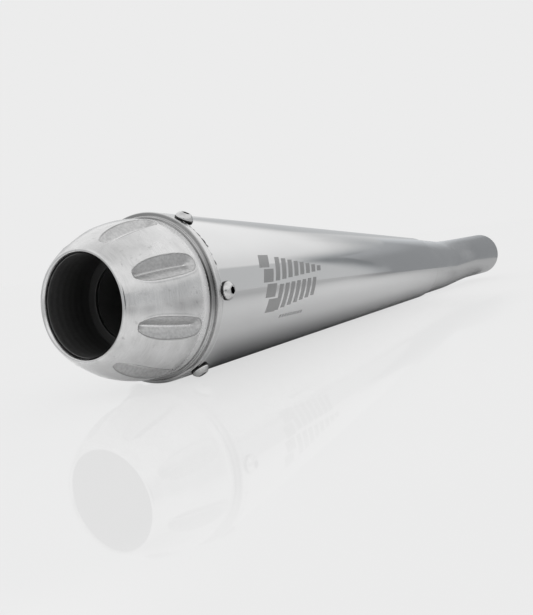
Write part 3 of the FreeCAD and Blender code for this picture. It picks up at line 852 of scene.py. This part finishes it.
def make_cone():
    """The tapered shell: a rolled sheet whose edge at the flange is uneven and nicked."""
    start = [(CONE_START + EDGE_GAP, cone_radius(CONE_START, SHEET), 0.2),
             (CONE_START + EDGE_GAP, cone_radius(CONE_START, CONE_INSET), 0.35)]
    outside = [(x, cone_radius(x, CONE_INSET), 0) for x in (CONE_START + 0.9, *np.arange(8, 396, 8))]
    end = [(CONE_END, cone_radius(CONE_END, CONE_INSET), 0.3), (CONE_END, cone_radius(CONE_END, SHEET), 0.2)]
    inside = [(x, cone_radius(x, SHEET), 0) for x in np.arange(390, 8, -30)]
    rings = turned(rounded([*start, *outside, *end, *inside], 22), 360)
    near_edge = np.clip(1 - (rings[..., 0] - CONE_START) / 3, 0, 1)
    turns = np.degrees(angle_of(rings))
    nicked = np.clip(1 - np.abs(turns - NICK_MIDDLE) / NICK_SPREAD, 0, 1)
    dents = grain(rings, 5)
    gap = 0.09 * (1 + grain(rings, 9)) + 1.9 * nicked * np.maximum(dents - 0.05, 0)
    # Painted shade, dark in the edge's nicks.
    nicks = (rings[..., 0] < CONE_START + 0.7) * nicked * np.maximum(dents - 0.02, 0) * 9
    rings[..., 0] += near_edge * gap
    piece("cone_shell", skin(rings), POLISHED, "polished_stainless", ["cone_shell"],
          nick=np.clip(nicks, 0, 0.9))


def make_sleeve():
    """The sleeve from inside the shell's narrow end to the neck."""
    start = [(SLEEVE_START, cone_radius(SLEEVE_START, SLEEVE_STEP + SHEET), 0.1),
             (SLEEVE_START, cone_radius(SLEEVE_START, SLEEVE_STEP), 0.2)]
    outside = [(x, cone_radius(x, SLEEVE_STEP), 0) for x in np.arange(386, BLEND_START - 4, 8)]
    end = [(BLEND_START, cone_radius(BLEND_START, SLEEVE_STEP), 0),
           (BLEND_START, cone_radius(BLEND_START, SLEEVE_STEP + SHEET), 0)]
    rings = turned(rounded([*start, *outside, *end], 30), 288)
    piece("front_sleeve", skin(rings), BRUSHED, "polished_stainless", ["front_sleeve"])


def make_pipe():
    """The straight inlet pipe, open at its end."""
    inner = PIPE_RADIUS - PIPE_WALL
    corners = [(BLEND_END, inner, 0), (BLEND_END, PIPE_RADIUS, 0),
               *((x, PIPE_RADIUS, 0) for x in np.arange(BLEND_END + 6, PIPE_LENGTH - 4, 8)),
               (PIPE_LENGTH, PIPE_RADIUS, 0.6), (PIPE_LENGTH, inner, 0.5)]
    pipe = skin(turned(rounded(corners), 256))
    piece("inlet_pipe", pipe, BRUSHED, "polished_stainless", ["inlet_pipe"], PIPE)


def blend_rings(first, first_way, last, last_way, pull, count):
    """Rings that run smoothly from one ring to another, leaving each along its own direction."""
    rings = []
    for t in np.linspace(0, 1, count):
        start = (2 * t**3 - 3 * t**2 + 1) * first + (t**3 - 2 * t**2 + t) * pull * first_way
        rings.append(start + (3 * t**2 - 2 * t**3) * last + (t**3 - t**2) * pull * last_way)
    return rings


def make_neck():
    """The bent reducer between the front sleeve and the inlet pipe, with sheet of even thickness."""
    steps = 256
    forward = np.array((1, 0, 0))
    to_body = BODY.inverted() @ PIPE
    turn = np.array(to_body.to_3x3())
    shift = np.array(to_body.translation)
    walls = []
    for inward in (0.0, SHEET):
        start_radius = cone_radius(BLEND_START, SLEEVE_STEP + inward)
        start = turned([(BLEND_START, start_radius)], steps)[0]
        end = turned([(BLEND_END, PIPE_RADIUS - inward)], steps)[0]
        slope = start * np.array((0, 1, 1)) * -CONE_TAPER / start_radius
        walls.append(blend_rings(start, slope + forward, end @ turn.T + shift, turn @ forward,
                                 BLEND_PULL, BLEND_RINGS))
    neck = skin(np.array(walls[0] + walls[1][::-1]))
    piece("neck", neck, BRUSHED, "polished_stainless", ["neck", "neck_weld", "pipe_weld"])


def rounded_rectangle(half_long, half_wide, corner, steps):
    """Points round a rectangle with round corners, the same number on each quarter."""
    points = []
    for quarter in range(4):
        side = (1 if quarter in (0, 3) else -1, 1 if quarter < 2 else -1)
        centre = np.array(side) * (half_long - corner, half_wide - corner)
        for share in np.linspace(0, 1, steps // 4):
            turn = (quarter + share) * math.pi / 2
            points.append(centre + corner * np.array((math.cos(turn), math.sin(turn))))
    return np.array(points)


def make_saddle():
    """The plate under the hanger: a bent sheet with round corners and softened edges."""
    middle_radius = cone_radius(HANGER_ALONG)
    half_wide = math.radians(SADDLE_ANGLE) * middle_radius
    top = SADDLE_THICK
    edge = [(14, 0), (8, 0), (3, 0), (0.3, 0), (0, 0.3),
            (0, top - 0.6), (0.18, top - 0.18), (0.6, top), (3, top), (8, top), (14, top)]
    rings = []
    for inset, height in edge:
        corner = max(SADDLE_CORNER - inset, 0.4)
        flat = rounded_rectangle(SADDLE_HALF - inset, half_wide - inset, corner, 96)
        along = HANGER_ALONG + flat[:, 0]
        turns = math.pi + flat[:, 1] / middle_radius
        radius = cone_radius(along) + SADDLE_GAP + height
        rings.append(round_axis(along, radius, turns))
    low = (HANGER_ALONG, middle_radius + SADDLE_GAP, 0)
    high = (HANGER_ALONG, middle_radius + SADDLE_GAP + top, 0)
    saddle = skin(np.array(rings), loop=False, first_tip=low, last_tip=high)
    piece("hanger_saddle", saddle, BRACKET, "bracket_steel", ["hanger_saddle"])


def tab_foot(along):
    """The radius of the tab's foot, just above the saddle."""
    return cone_radius(along) + 2 * SADDLE_GAP + SADDLE_THICK


def make_tab():
    """The hanger's plate, with a round nose, broken edges and a seat for the bush."""
    centre = np.array((HANGER_ALONG, cone_radius(HANGER_ALONG) + TAB_REACH))
    left, right = HANGER_ALONG - TAB_FOOT, HANGER_ALONG + TAB_FOOT
    nose = [centre + TAB_NOSE * np.array((math.cos(t), math.sin(t))) for t in np.linspace(0, math.pi, 65)]
    foot = [np.array((x, tab_foot(x))) for x in np.linspace(left, right, 27)]
    outline = np.array([*nose, *between(nose[-1], foot[0], 10), *foot, *between(foot[-1], nose[0], 10)])
    ways = outline - centre
    lengths = np.linalg.norm(ways, axis=1, keepdims=True)
    ways = ways / lengths
    thick = TAB_HALF_THICK
    outer = [(TAB_EDGE, thick), (0.12, thick - 0.12), (0, thick - TAB_EDGE), (0, TAB_EDGE - thick),
             (0.12, 0.12 - thick), (TAB_EDGE, -thick)]
    seat = [(0.4, -thick), (0, 0.4 - thick), (0, thick - 0.4), (0.4, thick)]
    reaches = [(lengths - inset, height) for inset, height in outer]
    reaches += [(BUSH_SEAT + outset, height) for outset, height in seat]
    rings = []
    for reach, height in reaches:
        flat = centre + ways * reach
        rings.append(np.column_stack((flat, np.full(len(flat), height))))
    piece("hanger_tab", skin(np.array(rings)), BRACKET, "bracket_steel", ["hanger_tab"])


def make_tab_welds():
    """Fillet welds on both sides of the tab's foot, with the ripples of hand welding."""
    fan = np.linspace(0.0, math.pi / 2 - 0.001, 10)
    inner_edge = TAB_HALF_THICK - 0.2
    for index, side in enumerate((1, -1)):
        rings = []
        for along in np.arange(-TAB_FOOT + 0.6, TAB_FOOT - 0.5, 0.25):
            ripple = RIPPLE_HEIGHT * abs(math.sin(math.pi * along / RIPPLE_PITCH))
            ripple += 0.05 * math.sin(along * 0.9)
            taper = 0.55 + 0.45 * min(1.0, (TAB_FOOT - abs(along)) / 2)
            leg = (BEAD_LEG - 0.25 + ripple) * taper
            foot = tab_foot(HANGER_ALONG + along) - 0.35
            ring = [(0, 0), *((leg * math.cos(t) ** 1.3, leg * math.sin(t) ** 1.3) for t in fan)]
            rings.append([(HANGER_ALONG + along, foot + up, side * (inner_edge + out)) for out, up in ring])
        rings = np.array(rings)
        bead = skin(rings, loop=False, first_tip=rings[0].mean(axis=0), last_tip=rings[-1].mean(axis=0))
        piece(f"tab_weld_{index + 1}", bead, WELD, "weld_metal", ["tab_welds"])


def make_bush():
    """The grooved rubber bush and the steel tube in it."""
    seat = BODY @ Matrix.Translation((HANGER_ALONG, cone_radius(HANGER_ALONG) + TAB_REACH, 0))
    groove = TAB_HALF_THICK + BUSH_GAP
    right = [(groove, BUSH_SEAT - BUSH_GAP, 0.1), (groove, BUSH_LIP, 0.5), (BUSH_HALF - 1.6, BUSH_LIP, 0.8),
             (BUSH_HALF, BUSH_LIP - 1.5, 0.8), (BUSH_HALF, TUBE_RADIUS + BUSH_GAP, 0.2)]
    bush = [*((-along, radius, fillet) for along, radius, fillet in reversed(right)), *right]
    tube = [(-TUBE_HALF, TUBE_BORE, 0.25), (-TUBE_HALF, TUBE_RADIUS, 0.4), (TUBE_HALF, TUBE_RADIUS, 0.4),
            (TUBE_HALF, TUBE_BORE, 0.25)]
    for name, section, material, slot in (("hanger_bush", bush, RUBBER, "rubber"),
                                          ("hanger_tube", tube, SCREW, "screw_steel")):
        piece(name, skin(turned(rounded(section), 96)[..., (1, 2, 0)]), material, slot, [name], seat)


def paint_cad_nodes():
    """Materials for the CAD's own meshes that stay in view: the seal, the seam and what is inside."""
    finishes = {"cap_seal": GRAPHITE, "sleeve_weld": BRUSHED,
                "core_tube": SOOTED, "core_seal": MESH, "core_collar": RAW, "packing_disc": RAW,
                "steel_wool": WOOL, "glass_packing": FIBRE, "packing_ties": RAW}
    for name, material in finishes.items():
        mesh = frame["nodes"][name].data
        mesh.materials.clear()
        mesh.materials.append(material)


def make_mark():
    """A plain etched pattern of slanted bars and short dashes."""
    points = []
    faces = []
    for count, first, step, width in MARK_ROWS:
        for index in range(count):
            left, low, high = np.array(first) + index * np.array(step)
            add_bar(points, faces, left, low, high, width)
    piece("etched_pattern", (points, faces), ETCHED, "polished_stainless")


def add_bar(points, faces, left, low, high, width, rows=10):
    """A thin closed plate on the shell, from a low to a high place round it."""
    base = len(points)
    for lift in (MARK_LIFT, -MARK_LIFT):
        for rise in low + (high - low) * np.linspace(0, 1, rows):
            turn = rise / MARK_RADIUS
            for along in (left + rise * MARK_LEAN, left + rise * MARK_LEAN + width):
                radius = cone_radius(along) + lift
                points.append((along, -radius * math.cos(turn), radius * math.sin(turn)))
    under = base + 2 * rows
    for row in range(rows - 1):
        a = base + 2 * row
        b = under + 2 * row
        faces += [(a, a + 1, a + 3, a + 2), (b, b + 2, b + 3, b + 1),
                  (a, a + 2, b + 2, b), (a + 1, b + 1, b + 3, a + 3)]
    last = 2 * rows - 2
    faces.append((base, under, under + 1, base + 1))
    faces.append((base + last, base + last + 1, under + last + 1, under + last))


make_end_cap()
make_screws()
make_cone()
make_sleeve()
make_neck()
make_pipe()
make_mark()
make_saddle()
make_tab()
make_tab_welds()
make_bush()
paint_cad_nodes()


# Studio


def emitter(name, strength):
    """A plain white light."""
    material, graph = new_material(name)
    graph.end(graph.add("ShaderNodeEmission", {"Color": (1, 1, 1, 1), "Strength": strength}))
    return material


def floor_material(name, paint, glow, gloss):
    """A floor. Part of its tone can be a steady glow, so that shadows on it stay soft."""
    material, graph = new_material(name)
    tone = paint(graph)
    light = graph.add("ShaderNodeEmission", {"Color": tone, "Strength": glow(graph)})
    matt = graph.add("ShaderNodeBsdfDiffuse", {"Color": tone})
    both = graph.add("ShaderNodeAddShader", {0: light.outputs[0], 1: matt.outputs[0]})
    shine = graph.add("ShaderNodeBsdfGlossy", {"Color": (1, 1, 1, 1), "Roughness": 0.02})
    shaders = {1: both.outputs[0], 2: shine.outputs[0]}
    graph.end(graph.add("ShaderNodeMixShader", {"Fac": gloss(graph), **shaders}))
    return material


def floor_place(g):
    """How far a point of the floor lies aside from the silencer's axis and ahead of its flange, in metres."""
    where = g.parts("Object")
    flange = BODY.translation
    middle = (cad_bounds[0] + cad_bounds[1]) / 2
    aside = g.maths("ABSOLUTE", g.minus(where[1], flange.y - middle.y))
    return aside, g.minus(where[0], flange.x - middle.x)


def plain_paint(g):
    """The visible floor's paint, with a trace of unevenness."""
    return g.blend(g.noise(90, 3), grey(FLOOR_PAINT * 0.995), grey(FLOOR_PAINT * 1.005))


def mirror_lane(g):
    """The part of the visible floor that mirrors the silencer faintly."""
    aside, ahead = floor_place(g)
    lane = g.spread(g.plus(aside, g.times(ahead, 0.12)), 0.18, 0.13)
    ends = g.times(g.spread(ahead, -0.34, -0.22), g.spread(ahead, 0.44, 0.30))
    return g.times(lane, ends)


def plain_gloss(g):
    """How much the visible floor mirrors, which is nothing outside the lane."""
    return g.times(mirror_lane(g), FLOOR_GLOSS)


def plain_glow(g):
    """A steady glow, raised where the floor mirrors the studio's darker wall."""
    return g.plus(FLOOR_GLOW / FLOOR_PAINT, g.times(mirror_lane(g), 0.16))


def bounce_glow(g):
    """A little light of its own in front of the flange, for the dome's underside."""
    return g.times(g.spread(floor_place(g)[1], 0.03, -0.01), 0.12)


def bounce_paint(g):
    """The floor that the metal mirrors, with painted shadow and shade: darkest under the silencer just behind
    its flange, and a little dim to the sides and in a widening beam towards the inlet and past it."""
    aside, ahead = floor_place(g)
    narrowing = g.spread(ahead, 0.0, 0.45, 1.0, 0.55, smooth=False)
    under = g.spread(g.maths("DIVIDE", aside, narrowing), 0.014, 0.058, 0.34, 0.93)
    ease = g.plus(g.spread(ahead, 0.05, 0.30, 0.0, 0.50, smooth=False),
                  g.spread(ahead, 0.34, 0.54, 0.0, 0.35))
    ease = g.most(ease, g.spread(ahead, 0.045, 0.0))
    under = g.mix(ease, under, 1.0)
    far = g.most(g.spread(aside, 0.08, 0.22, 1.0, 0.64), g.spread(aside, 0.24, 0.46, 0.5, 0.80))
    beam = g.spread(g.maths("DIVIDE", aside, g.most(ahead, 0.01)), 0.34, 0.25)
    beyond = g.mix(beam, 1.0, g.spread(ahead, 0.31, 0.70, 1.0, 0.55))
    # Painted shadow under the silencer, and painted shade to the sides and in the beam.
    level = g.times(g.times(under, far), beyond)
    return g.blend(level, (0.0, 0.002, 0.010, 1), grey(0.90))


def card_material():
    """A dim card beside the inlet, lighter towards its top and its far side."""
    material, graph = new_material("card_grey")
    where = graph.parts("Generated")
    level = graph.spread(where[1], 0.61, 0.95, 0.36, 0.72, smooth=False)
    level = graph.most(level, graph.spread(where[0], 0.32, 0.0, 0.36, 0.48))
    graph.end(graph.add("ShaderNodeEmission", {"Color": (0.97, 1, 1.03, 1), "Strength": level}))
    return material


def staged(name, kind, size, location, material):
    """A disc or a sphere of the studio."""
    if kind == "disc":
        bpy.ops.mesh.primitive_circle_add(vertices=96, radius=size, fill_type="NGON", location=location)
    else:
        bpy.ops.mesh.primitive_uv_sphere_add(segments=64, ring_count=32, radius=size, location=location)
    made = bpy.context.object
    made.name = name
    made.data.materials.append(material)
    return made


def hide_from(thing, *rays):
    """Hides a thing of the studio from some kinds of ray."""
    for ray in rays:
        setattr(thing, "visible_" + ray, False)


def make_stage():
    """A backdrop and a floor that only the camera sees, and a floor that only the metal sees."""
    middle = (cad_bounds[0] + cad_bounds[1]) / 2
    backdrop = staged("backdrop", "sphere", STAGE_RADIUS, (middle.x, middle.y, 0),
                      emitter("backdrop_white", WHITE))
    shown = staged("floor", "disc", STAGE_RADIUS, (middle.x, middle.y, FLOOR_Z),
                   floor_material("floor_white", plain_paint, plain_glow, plain_gloss))
    for thing in (backdrop, shown):
        hide_from(thing, "diffuse", "glossy", "shadow")
    lit = staged("floor_bounce", "disc", BOUNCE_RADIUS, (middle.x, middle.y, FLOOR_Z - BOUNCE_DROP),
                 floor_material("floor_bounce_white", bounce_paint, bounce_glow, lambda g: 0.0))
    hide_from(lit, "camera")


def make_card():
    """The card stands past the inlet, across the pipe's axis, and only mirrors show it."""
    place = PIPE @ Vector((PIPE_LENGTH, 0, 0)) + Vector(CARD_PAST_INLET)
    bpy.ops.mesh.primitive_plane_add(size=1, location=place, rotation=(0, math.pi / 2, 0))
    card = bpy.context.object
    card.name = "grey_card"
    card.scale = CARD_SIZE
    card.data.materials.append(card_material())
    hide_from(card, "camera", "diffuse", "shadow")


def in_degrees(g, operation, *values):
    return g.times(g.maths(operation, *values), 180 / math.pi)


def low_sky(g, turn, rise, onward):
    """The tone below the edge: even to the side, and stepped past the inlet."""
    side = g.spread(rise, -30, 10, 0.74, 0.70)
    past = g.spread(turn, -15, 16, 0.30, 0.76, smooth=False)
    past = g.maths("MINIMUM", past, g.spread(turn, 12, 18, 0.80, 0.60))
    past = g.most(past, g.spread(turn, 23, 34, 0.0, 0.72))
    past = g.most(past, g.spread(rise, 2, -20, 0.0, 0.80))
    return g.mix(onward, side, past)


def sky_edge(g, turn, rise, onward):
    """How far a direction is above the wall's edge, which is sharp to the side and soft past the inlet."""
    wall = g.spread(rise, 12.8, 14.2)
    brow = g.plus(g.spread(turn, -19, 3, 12.7, 19.6, smooth=False),
                  g.spread(turn, 3, 26, 0.0, 1.2, smooth=False))
    soft = g.spread(g.minus(rise, brow), -1.5, 4.5)
    return g.mix(onward, wall, soft)


def make_sky():
    """Soft studio light by direction, as a turn and a rise in degrees: bright above an edge, calm below
    it, and one dark panel that the dome mirrors."""
    world = bpy.data.worlds.new("studio")
    bpy.context.scene.world = world
    world.use_nodes = True
    g = Graph(world.node_tree)
    way = g.parts("Generated")
    rise = in_degrees(g, "ARCSINE", way[2])
    turn = in_degrees(g, "ARCTAN2", way[1], way[0])
    turn_back = in_degrees(g, "ARCTAN2", g.times(way[1], -1.0), g.times(way[0], -1.0))
    onward = g.times(g.spread(turn, -20, -17), g.spread(turn, 110, 80))
    high = g.times(g.spread(rise, 14, 28, 0.96, 1.13), g.spread(rise, 50, 80, 1.0, 0.80))
    level = g.mix(sky_edge(g, turn, rise, onward), low_sky(g, turn, rise, onward), high)
    flat = g.maths("DIVIDE", g.minus(turn_back, PANEL_TURN), PANEL_WIDE)
    steep = g.maths("DIVIDE", g.minus(rise, PANEL_RISE), PANEL_TALL)
    reach = g.maths("SQRT", g.plus(g.times(flat, flat), g.times(steep, steep)))
    level = g.mix(g.spread(reach, 0.35, 1.1, 1.0, 0.0), level, PANEL_TONE)
    tone = g.blend(g.spread(level, 0.3, 0.9), (0.96, 1.0, 1.03, 1), (1, 1, 1, 1))
    g.end(g.add("ShaderNodeBackground", {"Color": tone, "Strength": level}), "ShaderNodeOutputWorld")


def make_camera():
    camera = bpy.data.cameras.new("camera")
    camera.sensor_width = 36
    camera.lens = CAMERA_LENS
    camera.clip_start = 0.02
    camera.clip_end = 40
    made = bpy.data.objects.new("camera", camera)
    bpy.context.scene.collection.objects.link(made)
    made.location = CAMERA_AT
    made.rotation_euler = tuple(math.radians(a) for a in CAMERA_DEGREES)
    bpy.context.scene.camera = made


make_stage()
make_card()
make_sky()
make_camera()
bpy.context.scene.view_settings.view_transform = "Standard"
